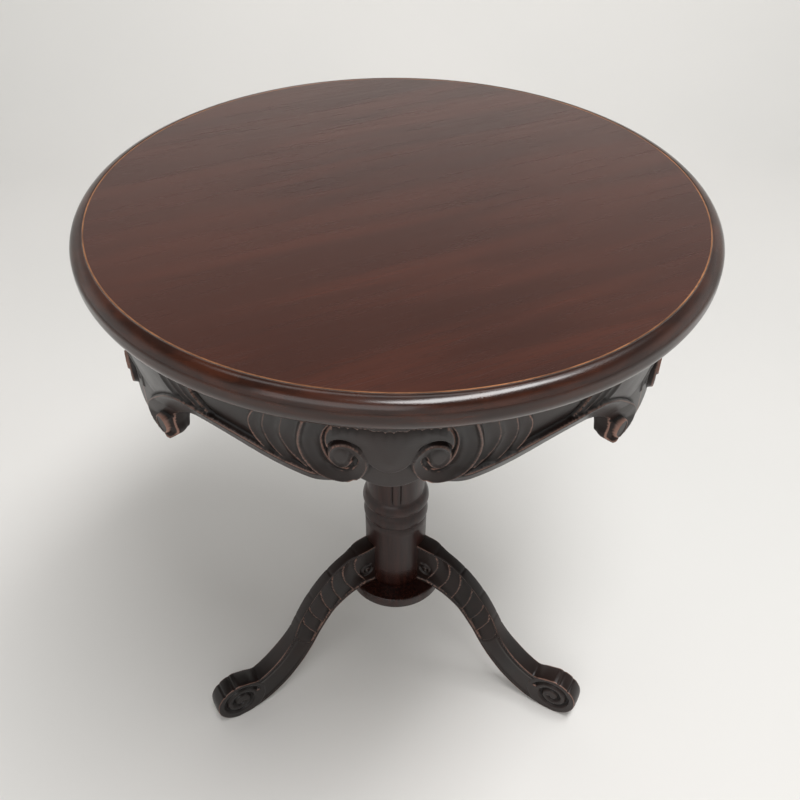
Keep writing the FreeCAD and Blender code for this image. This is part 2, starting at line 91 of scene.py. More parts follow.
def smoothstep(low, high, x):
    t = np.clip((x - low) / (high - low), 0, 1)
    return t * t * (3 - 2 * t)


def mix(a, b, t):
    return a + (b - a) * t


def resample(path, spacing):
    """The same path with evenly spaced points, about the spacing apart."""
    path = np.asarray(path, dtype=float)
    steps = np.linalg.norm(np.diff(path, axis=0), axis=1)
    along = np.concatenate([[0], np.cumsum(steps)])
    wanted = np.linspace(0, along[-1], max(2, round(along[-1] / spacing) + 1))
    return np.stack([np.interp(wanted, along, path[:, axis]) for axis in range(2)], axis=1)


def curve(points, spacing=1.6):
    """A smooth curve through the points, evenly sampled."""
    points = np.asarray(points, dtype=float)
    padded = np.vstack([2 * points[0] - points[1], points, 2 * points[-1] - points[-2]])
    t = np.linspace(0, 1, 24, endpoint=False)[:, None]
    pieces = []
    for index in range(1, len(padded) - 2):
        p0, p1, p2, p3 = padded[index - 1:index + 3]
        pieces.append(0.5 * (
            2 * p1 + (p2 - p0) * t + (2 * p0 - 5 * p1 + 4 * p2 - p3) * t ** 2
            + (3 * p1 - p0 - 3 * p2 + p3) * t ** 3
        ))
    return resample(np.vstack(pieces + [points[-1:]]), spacing)


def arc(centre, radius, start, end, steps):
    """Points on a circle from one angle to another."""
    angles = np.radians(np.linspace(start, end, steps))
    return np.stack([centre[0] + radius * np.cos(angles), centre[1] + radius * np.sin(angles)], 1)


def rounded(corners, steps=6):
    """A path whose corners, given as (x, y, radius), are rounded."""
    path = []
    for index, (x, y, radius) in enumerate(corners):
        here = np.array([x, y], dtype=float)
        if radius <= 0 or index in (0, len(corners) - 1):
            path.append(here)
            continue
        before = np.array(corners[index - 1][:2], dtype=float) - here
        after = np.array(corners[index + 1][:2], dtype=float) - here
        reach = min(radius, 0.45 * np.linalg.norm(before), 0.45 * np.linalg.norm(after))
        start = here + before / np.linalg.norm(before) * reach
        end = here + after / np.linalg.norm(after) * reach
        for t in np.linspace(0, 1, steps):
            path.append((1 - t) ** 2 * start + 2 * t * (1 - t) * here + t * t * end)
    return np.array(path)


def distance_to(path, points, chunk=4000):
    """Distance of each point to a path, its side (+1 on the left) and its place along, 0 to 1."""
    start, step = path[:-1], np.diff(path, axis=0)
    length = np.linalg.norm(step, axis=1)
    along = np.concatenate([[0], np.cumsum(length)])
    found = []
    for first in range(0, len(points), chunk):
        offset = points[first:first + chunk, None, :] - start[None]
        t = np.clip((offset * step).sum(-1) / (length ** 2), 0, 1)
        gap = offset - t[..., None] * step
        squared = (gap ** 2).sum(-1)
        best = squared.argmin(axis=1)
        row = np.arange(len(best))
        turn = step[best, 0] * offset[row, best, 1] - step[best, 1] * offset[row, best, 0]
        place = (along[best] + t[row, best] * length[best]) / along[-1]
        found.append(np.stack([np.sqrt(squared[row, best]), np.sign(turn), place], axis=1))
    distance, side, place = np.vstack(found).T
    return distance, side, place


def signed(path, points):
    """Distance to a path, positive on its left side and negative on its right."""
    distance, side, _ = distance_to(path, points)
    return distance * side


def inside(path, points):
    """True for the points inside a closed path."""
    x, y = points[:, 0], points[:, 1]
    within = np.zeros(len(points), dtype=bool)
    for (x0, y0), (x1, y1) in zip(path, np.roll(path, -1, axis=0)):
        if y0 == y1:
            continue
        crosses = (y0 > y) != (y1 > y)
        within ^= crosses & (x < (x1 - x0) * (y - y0) / (y1 - y0) + x0)
    return within


def ridge(distance, width):
    """1 on a line, falling smoothly to 0 at the width."""
    return 1 - smoothstep(0, width, np.abs(distance))


# ---- meshes

def make_object(name, points, faces, material, attributes=None):
    """A smooth shaded mesh, from points in millimetres and lists of corner numbers."""
    mesh = bpy.data.meshes.new(name)
    mesh.from_pydata((np.asarray(points) * MM).tolist(), [], [list(face) for face in faces])
    mesh.shade_smooth()
    for key, values in (attributes or {}).items():
        layer = mesh.attributes.new(key, "FLOAT", "POINT")
        layer.data.foreach_set("value", np.asarray(values, dtype=np.float32))
    mesh.materials.append(material)
    mesh.validate()
    piece = bpy.data.objects.new(name, mesh)
    bpy.context.scene.collection.objects.link(piece)
    return piece


def grid_quads(rows, columns):
    """Quads of a grid of points stored row by row, closed on itself both ways."""
    low, left = np.meshgrid(np.arange(rows), np.arange(columns), indexing="ij")
    high, right = (low + 1) % rows, (left + 1) % columns
    quads = [low * columns + left, low * columns + right, high * columns + right, high * columns + left]
    return np.stack(quads, axis=-1).reshape(-1, 4)


def lathe(name, profile, angles, material, dent=None):
    """Turn a closed profile of (radius, height) about the table's axis.

    dent gives how deep the surface lies below the profile, from the angle and the height.
    """
    radius = profile[:, 0][:, None] + 0 * angles[None, :]
    height = profile[:, 1][:, None] + 0 * angles[None, :]
    if dent is not None:
        radius = radius - dent(angles[None, :], height)
    points = np.stack([radius * np.cos(angles), radius * np.sin(angles), height], axis=-1)
    quads = grid_quads(len(profile), len(angles))
    return make_object(name, points.reshape(-1, 3), quads, material)


def triangulate(outline, loose):
    """Triangles that fill a closed outline and pass through the loose points inside it."""
    count = len(outline)
    points = [Vector(point) for point in np.vstack([outline, loose]).tolist()]
    edges = [(index, (index + 1) % count) for index in range(count)]
    result = delaunay_2d_cdt(points, edges, [], 1, 1e-6)
    return np.array([tuple(vertex) for vertex in result[0]]), result[2]


def lattice(outline, spacing, clear_of, gap):
    """Staggered points inside a closed outline, none nearer than the gap to the given points."""
    low, high = outline.min(axis=0), outline.max(axis=0)
    rows = np.arange(low[1], high[1], spacing * math.sqrt(0.75))
    columns = np.arange(low[0], high[0], spacing)
    x, y = np.meshgrid(columns, rows)
    x = x + (np.arange(len(rows)) % 2)[:, None] * spacing / 2
    points = np.stack([x.ravel(), y.ravel()], axis=1)
    points = points[inside(outline, points)]
    return points[~crowded(points, clear_of, gap)]


def crowded(points, others, gap):
    """True for the points that have one of the others within about the gap."""
    if len(points) == 0 or len(others) == 0:
        return np.zeros(len(points), dtype=bool)
    size = 0.6 * gap
    others = np.asarray(others)
    low = np.minimum(points.min(axis=0), others.min(axis=0)) - 2 * size
    high = np.maximum(points.max(axis=0), others.max(axis=0)) + 2 * size
    taken = np.zeros(((high - low) / size).astype(int) + 2, dtype=bool)
    cells = ((others - low) / size).astype(int)
    for across in (-1, 0, 1):
        for upward in (-1, 0, 1):
            taken[cells[:, 0] + across, cells[:, 1] + upward] = True
    mine = ((points - low) / size).astype(int)
    return taken[mine[:, 0], mine[:, 1]]


def inward(outline):
    """Unit vectors that point into a closed outline, one at each of its points."""
    along = np.roll(outline, -1, axis=0) - np.roll(outline, 1, axis=0)
    normal = np.stack([-along[:, 1], along[:, 0]], axis=1)
    normal /= np.linalg.norm(normal, axis=1)[:, None]
    x, y = outline.T
    area = (x * np.roll(y, -1) - y * np.roll(x, -1)).sum()
    return normal * np.sign(area)


EDGE_ROWS = (0.35, 0.9, 1.6)  # depths of the rows of points behind a face's edge


def carved_face(outline, features, spacing):
    """A triangulated face: its outline, rows close behind the edge, feature lines and a lattice."""
    normal = inward(outline)
    rows = [outline + normal * depth for depth in EDGE_ROWS]
    rows = [row[inside(outline, row)] for row in rows]
    lines = [resample(line, 0.8) for line in features]
    lines = [line[inside(outline, line)] for line in lines]
    kept = list(outline)
    loose = []
    for group in rows + lines:
        fresh = group[~crowded(group, kept, 0.45 * spacing)] if len(group) else group
        kept.extend(fresh)
        loose.append(fresh)
    loose.append(lattice(outline, spacing, kept, 0.7 * spacing))
    return triangulate(outline, np.vstack(loose))


def closed_board(name, front, rows, back, count, material, layers):
    """A closed solid from a front sheet, loops of points between, and a back sheet.

    Each sheet is (points, faces), and its first points, count of them, are its edge in order.
    """
    sheets = [front[0]] + rows + [back[0]]
    starts = np.cumsum([0] + [len(sheet) for sheet in sheets])
    quads = []
    here = np.arange(count)
    after = (here + 1) % count
    for low, high in zip(starts[:-2], starts[1:-1]):
        quads.extend(np.stack([low + here, low + after, high + after, high + here], axis=1).tolist())
    faces = [list(face) for face in front[1]] + quads
    faces += [[corner + int(starts[-2]) for corner in face] for face in back[1]]
    piece = make_object(name, np.vstack(sheets), faces, material, layers)
    make_outward(piece.data)
    return piece


def make_outward(mesh):
    """Turn every face of a closed mesh to the outside."""
    shape = bmesh.new()
    shape.from_mesh(mesh)
    bmesh.ops.recalc_face_normals(shape, faces=shape.faces)
    shape.to_mesh(mesh)
    shape.free()
    mesh.shade_smooth()


# ---- relief maps

class Relief:
    """A carved height map over a rectangle, with the wear that it causes and the painted shade in its
    hollows.
    """

    STEP = 0.5  # between points of the map
    OUTSIDE = -5.0  # height given to places beyond the wood

    def __init__(self, low, high, height, solid):
        """height and solid are functions of points: how high, and which points are wood."""
        self.low = np.array(low, dtype=float)
        self.columns = int((high[0] - low[0]) / self.STEP) + 1
        self.rows = int((high[1] - low[1]) / self.STEP) + 1
        x = low[0] + np.arange(self.columns) * self.STEP
        y = low[1] + np.arange(self.rows) * self.STEP
        grid = np.stack(np.meshgrid(x, y), axis=-1).reshape(-1, 2)
        wood = solid(grid).reshape(self.rows, self.columns)
        near_wood = self.blur(wood.astype(float), 1.0) > 1e-4
        self.height = np.full(wood.shape, self.OUTSIDE)
        self.height[near_wood] = height(grid.reshape(self.rows, self.columns, 2)[near_wood])
        felt = np.where(wood, self.height, self.OUTSIDE)
        near, wide = self.blur(felt, 0.9), self.blur(felt, 3.5)
        self.wear = np.clip((felt - near - 0.16) / 0.6, 0, 1)
        # Painted shade: darker where a point lies below its blurred surroundings.
        self.hollow_shade = np.clip((wide - felt) / 1.9, 0, 1)

    def blur(self, values, radius):
        reach = int(3 * radius / self.STEP)
        weights = np.exp(-0.5 * (np.arange(-reach, reach + 1) * self.STEP / radius) ** 2)
        weights /= weights.sum()
        padded = np.pad(values, reach, mode="edge")
        padded = np.apply_along_axis(np.convolve, 0, padded, weights, "valid")
        return np.apply_along_axis(np.convolve, 1, padded, weights, "valid")

    def at(self, values, points):
        """Values of a map at the points, smoothly between its grid."""
        place = (points - self.low) / self.STEP
        column = np.clip(place[:, 0], 0, self.columns - 1.001)
        row = np.clip(place[:, 1], 0, self.rows - 1.001)
        left, low = column.astype(int), row.astype(int)
        u, v = column - left, row - low
        bottom = mix(values[low, left], values[low, left + 1], u)
        top = mix(values[low + 1, left], values[low + 1, left + 1], u)
        return mix(bottom, top, v)


def edge_round(distance, radius):
    """How far a rounded edge falls away at a distance behind it."""
    inner = np.clip(radius - distance, 0, radius)
    return radius - np.sqrt(radius ** 2 - inner ** 2)


# ---- apron sections

# The face of a section is drawn flat: x is the length along it from its middle, z the height.
# The carving's curves are given as (angle, height), for one half, and mirrored for the other.

DEGREE = 4.66  # length of one degree of a section's face
HALF_TURN = 60.0  # half of one section
FACE_TOP_RADIUS = 281.5
FACE_LEAN = 0.23  # how fast the face goes inwards, going down
APRON_THICK = 22.0
APRON_TWIST = -1.7  # turn of the sections from the legs' directions
APRON_SHIFT = np.array([-3.0, -3.0, 0.0])
GROUND = -4.0  # depth of the cut ground behind the carving
FACE_SPACING = 1.0
OUTLINE_SPACING = 0.9
SIDE_SPACING = 1.6
WALL_ROWS = (0.04, 0.12, 0.25, 0.4, 0.55, 0.7, 0.85)


def on_face(points, spacing=1.6):
    """A smooth curve on the apron's face, from (angle, height) points."""
    return curve([(angle * DEGREE, height) for angle, height in points], spacing)


def lower_edge():
    """The lower outline of half a section, from its middle to its joint."""
    tongue = on_face([(0, 567), (2.2, 569), (4.2, 574.5), (6.1, 581.5)], OUTLINE_SPACING)
    sweep = on_face([
        (6.1, 581.5), (7.6, 575.5), (10, 571), (12.8, 570), (16, 573.5), (20, 580.5), (25, 590),
        (29, 597), (33, 601), (36, 601), (39, 598), (42, 590.5), (44.5, 582), (46.6, 574),
    ], OUTLINE_SPACING)
    hook = on_face([
        (46.6, 574), (46.2, 565), (45.6, 557), (46.4, 551.5), (48.4, 548.3), (51.5, 544.5),
        (55, 541.2), (58, APRON_BOTTOM),
    ], OUTLINE_SPACING)
    foot = resample([(58 * DEGREE, APRON_BOTTOM), (HALF_TURN * DEGREE, APRON_BOTTOM)], 1.2)
    return np.vstack([tongue, sweep[1:], hook[1:], foot[1:]])


C_FILLET = on_face([
    (13.4, 652), (14.4, 636), (14.9, 621), (14.5, 604), (13, 588), (10.7, 580), (8.3, 578),
    (6.2, 581), (4.8, 589), (4.0, 601), (4.1, 612), (5.1, 622), (6.4, 628), (7.9, 628.5),
    (9.1, 624.5), (9.7, 617), (9.6, 608), (8.4, 600), (7.2, 602.5), (6.5, 608),
])
C_START = C_FILLET[:int(0.36 * len(C_FILLET))]
C_SWEEP = C_FILLET[:int(0.58 * len(C_FILLET))]
C_INNER = on_face([
    (8.9, 654), (10.2, 643), (10.9, 630), (10.8, 616), (10.1, 604), (8.8, 596.5), (7.4, 594),
])
EYE = (8.1 * DEGREE, 613.5)
EYE_SIZE = (7.2, 13.0)
EYE_HIGH = 2.9
SHIELD = on_face([
    (0, 665), (6.0, 664), (8.5, 655), (9.7, 645), (10.3, 636), (10.4, 626), (9.9, 618),
])
SHIELD_INNER = on_face([
    (9.9, 618), (9.75, 625), (9.1, 631), (7.9, 634.2), (6.5, 632.8), (5.1, 627), (4.3, 614),
    (3.4, 604), (2.2, 596.8), (0.9, 593.2), (0, 592.6),
])
RIBS = [
    on_face([(16.7, 652), (17.8, 634), (17.8, 621), (16.7, 605), (14.6, 590)]),
    on_face([(19.7, 652), (20.8, 634), (20.7, 619), (19.7, 604), (18.0, 592)]),
    on_face([(21.6, 652), (23.2, 638), (23.5, 624), (22.8, 611), (21.6, 601)]),
]
LOBES = [
    on_face([(34.6, 655), (34.7, 640), (34.0, 630), (32.4, 619)]),
    on_face([(37.0, 655), (37.3, 641), (36.5, 631), (34.6, 621)]),
    on_face([(39.6, 655), (40.0, 641), (39.2, 631), (37.2, 621)]),
    on_face([(41.8, 655), (42.6, 642), (42.2, 630), (40.6, 618)]),
]
CURL = on_face([
    (7.8, 580.5), (9.8, 579.5), (12.5, 582), (16, 588), (20, 596.5), (24, 606), (28, 613.5),
    (32.7, 618.5), (37.5, 620), (41, 616.5), (44.5, 607.5), (47.8, 596), (51.2, 583), (54.0, 570.5),
    (54.9, 560), (53.6, 552), (51.0, 549.5), (48.8, 550.5),
])
BUTTON = (48.8 * DEGREE, 561.5)
BUTTON_RADIUS = 9.5
BAND_HIGH = 2.2
CURL_HIGH = 5.0
FILLET_HIGH = 2.1
RIB_CREST = 0.2
LOBE_CREST = -0.3
TONGUE_HALF = 6.2
TONGUE_HIGH = -2.6
SHIELD_HIGH = 1.3
FRINGE_LEVEL = 650.4


def hollows(points, lines, rest, crest, depth):
    """Concave scoops between neighbouring lines, which are left as sharp arrises."""
    sides = [signed(line, points) for line in lines]
    height = rest
    for near, far in zip(sides[:-1], sides[1:]):
        between = (near > 0) & (far <= 0)
        share = near / np.maximum(near - far, 1e-6)
        wide = np.clip((near - far) / 9.0, 0.25, 1.0)
        scoop = crest - depth * wide * np.sin(np.pi * np.clip(share, 0, 1)) ** 0.75
        height = np.where(between, scoop, height)
    return height


def band(points, height):
    """Lay the moulded band over the height. Its crest curls round at the end into the scroll."""
    distance, side, place = distance_to(CURL, points)
    under = -distance * side
    angle = points[:, 0] / DEGREE
    high = mix(-1.2, BAND_HIGH, smoothstep(9.0, 14.5, angle))
    high = mix(high, CURL_HIGH, smoothstep(0.66, 0.84, place))
    beyond = (place <= 0.0) | (place >= 1.0)
    face = high + 0.4 - 0.30 * under - 0.8 * np.exp(-np.clip(under, 0, None) / 0.9)
    face = np.maximum(face, -3.0)
    below = (under > 0) & (angle > 6.1) & ~beyond
    below |= beyond & (points[:, 1] < 581) & (angle > 6.1) & (angle < 12)
    below |= beyond & (place >= 1.0) & (points[:, 1] < 580)
    height = np.where(below, face, height)
    drop = high + 2.6 * under
    groove = 1.6 * np.exp(np.clip(under + 1.5, None, 0) / 1.4) * smoothstep(0.5, 0.7, place)
    height = np.where((under <= -0.5) & ~beyond, height - groove, height)
    return np.where((under <= 0) & ~beyond, np.maximum(height, drop), height)


def button(points, height):
    """The round button at the eye of the end scroll: a flat disc with a thin raised edge."""
    radius = np.hypot(points[:, 0] - BUTTON[0], points[:, 1] - BUTTON[1])
    disc = CURL_HIGH + 0.6 + 0.9 * ridge(radius - 8.3, 1.2)
    disc = disc - edge_round(np.clip(BUTTON_RADIUS - radius, 0, None), 1.2)
    return np.where(radius < BUTTON_RADIUS, np.maximum(height, disc), height)


def cartouche(points, height):
    """The smooth shield between the two volutes, with a fringe of leaf tips over its top."""
    x, z = points[:, 0], points[:, 1]
    outline = np.vstack([SHIELD, SHIELD_INNER[1:], [[0, 665]]])
    edge = np.vstack([SHIELD, SHIELD_INNER[1:]])
    within = inside(outline, points)
    distance, _, _ = distance_to(edge, points)
    dome = SHIELD_HIGH - edge_round(distance, 2.6) * 1.2 + 0.9 * smoothstep(2, 16, distance)
    height = np.where(within, dome, height)
    tips = np.abs(np.cos(x * np.pi / 8.3 + 0.7 * np.sin(x / 4.7))) ** 0.7
    fringe = FRINGE_LEVEL - 3.4 * np.exp(-(x / 13.0) ** 2) + 2.6 * tips
    leaf = 1.5 + 0.25 * np.cos(x * 2 * np.pi / 5.3 + z / 3)
    shade = height - 3.8 * np.exp(-np.clip(fringe - z, 0, None) / 4.2)
    return np.where((x < 41) & within, np.where(z > fringe, leaf, shade), height)


def volute(points, height):
    """The C scroll: a raised fillet that winds in to a flat eye, with a hollow ribbon behind it."""
    distance, side, place = distance_to(C_FILLET, points)
    high = mix(FILLET_HIGH, EYE_HIGH, smoothstep(0.45, 0.85, place))
    bead = high - 1.7 * np.clip(distance - 0.5, 0, None) ** 1.3
    ribbon = np.maximum(high - 0.5 - 0.36 * distance, GROUND)
    turned = smoothstep(0.30, 0.42, place) * (side < 0) * (distance < 13)
    height = mix(height, np.where(turned > 0, ribbon, height), turned)
    height = np.where(distance < 4, np.maximum(height, bead), height)
    reach = np.hypot((points[:, 0] - EYE[0]) / EYE_SIZE[0], (points[:, 1] - EYE[1]) / EYE_SIZE[1])
    eye = EYE_HIGH - 0.9 - 2.0 * np.clip(reach, 0, 1.3) ** 5
    return np.where(reach < 1.25, np.maximum(height, eye), height)


def channel(points, height):
    """The broad hollow between the C scroll's fillet and the shield."""
    outline = np.vstack([C_SWEEP, C_INNER[::-1]])
    within = inside(outline, points)
    out = np.abs(signed(C_SWEEP, points))
    back = np.abs(signed(C_INNER, points))
    share = out / (out + back)
    hollow = 0.6 - 4.6 * np.sin(np.pi * np.clip(share, 0, 1)) ** 0.9 - 0.9 * share
    return np.where(within, np.maximum(hollow, -5.0), height)


def apron_height(points):
    """Height of the carving over the apron's plain face, for points with x from 0 outwards."""
    x, z = points[:, 0], points[:, 1]
    angle = x / DEGREE
    stipple = np.sin(3.1 * x + 0.9 * np.sin(1.3 * z)) * np.sin(2.9 * z + 0.8 * np.sin(1.1 * x))
    height = GROUND + 0.16 * stipple * smoothstep(24, 25, angle)
    height = np.where(angle < TONGUE_HALF, TONGUE_HIGH, height)
    height = hollows(points, [C_START] + RIBS, height, RIB_CREST, 3.2)
    edge = signed(RIBS[-1], points)
    height = np.where((edge > 0) & (edge < 1.6) & (z > 598), mix(RIB_CREST, GROUND, edge / 1.6), height)
    height = hollows(points, LOBES, height, LOBE_CREST, 2.4)
    plain = signed(LOBES[-1], points)
    height = np.where((plain > 0) & (z > 600), -0.5 + 0.2 * smoothstep(0, 12, plain), height)
    height = np.where((angle > 44) & (z <= 600), LOBE_CREST, height)
    slot = signed(LOBES[0], points)
    height = np.where((slot > -5.0) & (slot <= 0) & (z > 615), GROUND - 0.8, height)
    height = channel(points, height)
    height = cartouche(points, height)
    height = band(points, height)
    height = button(points, height)
    height = volute(points, height)
    upright = FACE_LEAN * np.clip(584 - z, 0, None) * smoothstep(43, 48, angle)
    bead = ridge(angle - 58.6, 0.7) * 1.4 - ridge(angle - 59.6, 0.3) * 1.0
    distance, _, _ = distance_to(resample(lower_edge(), 2.0), points)
    return height + upright + bead * (z > 572) - edge_round(distance, 1.8)


def face_radius(points):
    """Radius of the section's plain face."""
    return FACE_TOP_RADIUS - FACE_LEAN * (APRON_TOP - points[:, 1])


def back_radius(points):
    """Radius of the section's back, which comes forward where an end scroll hangs down."""
    angle = np.abs(points[:, 0]) / DEGREE
    hanging = smoothstep(44.0, 46.0, angle) * (1 - smoothstep(54, 57, angle))
    thin = mix(3.0, APRON_THICK, np.clip((points[:, 1] - 548) / 30, 0, 1))
    return face_radius(points) - mix(APRON_THICK, thin, hanging)


def on_cone(points, radius, centre):
    """The flat face's points, bent round to their radius about the table's axis."""
    angle = np.radians(centre + points[:, 0] / DEGREE)
    bent = np.stack([radius * np.cos(angle), radius * np.sin(angle), points[:, 1]], axis=1)
    return bent + APRON_SHIFT


def make_aprons(material):
    """Three carved sections that stand for the plain ones."""
    half = lower_edge()
    edge = np.vstack([half[::-1] * (-1, 1), half[1:]])
    end = HALF_TURN * DEGREE
    right_end = resample([(end, APRON_BOTTOM), (end, APRON_TOP)], SIDE_SPACING)[1:]
    top = resample([(end, APRON_TOP), (-end, APRON_TOP)], SIDE_SPACING)[1:]
    left_end = resample([(-end, APRON_TOP), (-end, APRON_BOTTOM)], SIDE_SPACING)[1:-1]
    outline = np.vstack([edge, right_end, top, left_end])
    count = len(outline)

    wood = np.vstack([half, [(end, APRON_TOP)], [(0, APRON_TOP)]])
    relief = Relief((0, APRON_BOTTOM - 3), (end + 1, APRON_TOP + 1), apron_height,
                    lambda points: inside(wood, points))
    lines = [C_FILLET, SHIELD_INNER, CURL] + RIBS + LOBES
    lines = lines + [line * (-1, 1) for line in lines]
    face, triangles = carved_face(outline, lines, FACE_SPACING)
    folded = np.column_stack([np.abs(face[:, 0]), face[:, 1]])
    height = relief.at(relief.height, folded)

    is_edge = np.arange(count) < len(edge)
    shift = inward(outline) * np.where(is_edge, 2.5, 0.0)[:, None]
    for _ in range(5):
        shift = (np.roll(shift, 1, axis=0) + shift + np.roll(shift, -1, axis=0)) / 3
    shift[~is_edge] = 0
    back_outline = outline + shift
    back_points = lattice(back_outline, 7.0, back_outline, 4.0)
    back_face, back_triangles = triangulate(back_outline, back_points)

    wear, hollow_shade = relief.at(relief.wear, folded), relief.at(relief.hollow_shade, folded)
    wall_wear = [wear[:count] * max(0.0, 1 - share * 12) for share in WALL_ROWS]
    # Painted shade: an even 0.25 on the cut walls and 0.3 on the back.
    wall_shade = np.full(count * len(WALL_ROWS), 0.25)
    layers = {
        "wear": np.concatenate([wear] + wall_wear + [np.zeros(len(back_face))]),
        "hollow_shade": np.concatenate([hollow_shade, wall_shade, np.full(len(back_face), 0.3)]),
    }
    pieces = []
    for node, turn in (("apron_front", -90), ("apron_right", 30), ("apron_left", 150)):
        centre = turn + APRON_TWIST
        front = on_cone(face, face_radius(face) + height, centre)
        back = on_cone(back_face, back_radius(back_face), centre)
        rows = []
        for share in WALL_ROWS:
            place = outline + shift * smoothstep(0.35, 1.0, share)
            outer = face_radius(outline) + height[:count]
            rows.append(on_cone(place, mix(outer, back_radius(place), share), centre))
        piece = closed_board(node.replace("apron", "carved_apron"), (front, triangles), rows,
                             (back, back_triangles), count, material, layers)
        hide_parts(node)
        pieces.append(piece)
    return pieces


# ---- legs

# A leg is drawn in its own plane: x is the reach from the table's axis, y the height.

TOE_CENTRE = (240.0, 32.0)
TOE_RADIUS = 33.0
TOP_NOTCHES = ((62, 1.6, 0.9), (98, 1.8, 1.0), (126, 2.0, 1.0), (147, 2.0, 1.0), (212, 3.0, 0.6))
TOE_NOTCHES = ((78, 5, 1.3), (50, 5, 1.3), (96, 4, 0.8))
LEG_ROOT = 30.0
LEG_ROOT_LOW = 149
LEG_ROOT_HIGH = 217
LEG_SPRING = 59.4  # reach where the leg's underside leaves the column's disc
SOLE_HEEL = 232  # reach of the sole's inner end
LEG_CROWN = 1.0  # how far the narrow edges bulge
LEG_ROWS = (0.04, 0.1, 0.2, 0.35, 0.5, 0.65, 0.8, 0.9, 0.96)
LEG_UPPER = curve([
    (LEG_ROOT, LEG_ROOT_HIGH), (55, 213.5), (72, 207.5), (88, 199), (105, 186.5), (120, 171), (134, 153),
    (146, 132), (157, 109), (170, 90.5), (184, 76), (198, 65), (213, 57.5), (226, 61.0), (240, 65),
])
LEG_LOWER = curve([
    (SOLE_HEEL, 0), (214, 4), (193, 13.5), (170, 30.5), (150, 52), (134, 74.5), (121, 97), (108, 116),
    (95, 131), (76, 143), (LEG_SPRING, LEG_ROOT_LOW),
])
LEAF_LINES = [
    curve([(62, 208), (66, 192), (63, 178), (57, 166)]),
    curve([(77, 206), (82.5, 189), (80.5, 171), (72, 154)]),
    curve([(94, 195), (98, 181), (97, 163), (89, 142)]),
    curve([(111, 183), (114.5, 168), (112.5, 149.5), (105.5, 131)]),
    curve([(129, 161), (131.8, 148), (128.5, 134.5), (119, 117)]),
    curve([(140.5, 141), (141.5, 125), (138, 115), (130, 101)]),
    curve([(151, 122), (153.5, 106), (149, 93), (139, 85)]),
]
PANEL_HIGH = curve([
    (30, 213), (55, 209.3), (72, 203), (88, 194.6), (104, 182.6), (119, 167), (133, 149), (145, 129),
    (153, 112),
])
PANEL_LOW = curve([
    (30, 153), (54, 154), (75, 148), (92, 138.5), (108, 124), (121.5, 107), (134, 87.5), (139, 82),
])
ROOT_VOLUTE = (48.0, 175.0)


def leg_outline():
    """The leg's closed outline in its own plane, with the carver's notches over the toe."""
    flat = math.degrees(math.asin(-TOE_CENTRE[1] / TOE_RADIUS))
    toe = arc(TOE_CENTRE, TOE_RADIUS, 90, flat, 150)
    upper = LEG_UPPER.copy()
    for place, width, depth in TOP_NOTCHES:
        upper[:, 1] -= depth * ridge(upper[:, 0] - place, width)
    for place, width, depth in TOE_NOTCHES:
        angle = np.degrees(np.arctan2(toe[:, 1] - TOE_CENTRE[1], toe[:, 0] - TOE_CENTRE[0]))
        toe = toe + (TOE_CENTRE - toe) * (depth / TOE_RADIUS * ridge(angle - place, width))[:, None]
    sole = resample([toe[-1], (SOLE_HEEL, 0)], 1.0)
    under = resample([(LEG_SPRING, LEG_ROOT_LOW), (LEG_ROOT, LEG_ROOT_LOW)], 1.5)
    root = resample([(LEG_ROOT, LEG_ROOT_LOW), (LEG_ROOT, LEG_ROOT_HIGH)], 2.0)
    path = np.vstack([root, upper[1:], toe[1:], sole[1:], LEG_LOWER[1:], under[1:-1]])
    return path[::-1]


def spiral_groove(points, centre, start_radius, end_radius, pitch, start_angle, width):
    """Closeness to a spiral line that winds in clockwise, 1 on the line."""
    offset = points - np.array(centre)
    radius = np.hypot(offset[:, 0], offset[:, 1])
    angle = np.degrees(np.arctan2(offset[:, 1], offset[:, 0]))
    turn = np.mod(start_angle - angle, 360.0) / 360.0
    close = np.zeros(len(points))
    for lap in range(4):
        line = start_radius - pitch * (turn + lap)
        close = np.maximum(close, ridge(radius - line, width) * (line > end_radius))
    return close


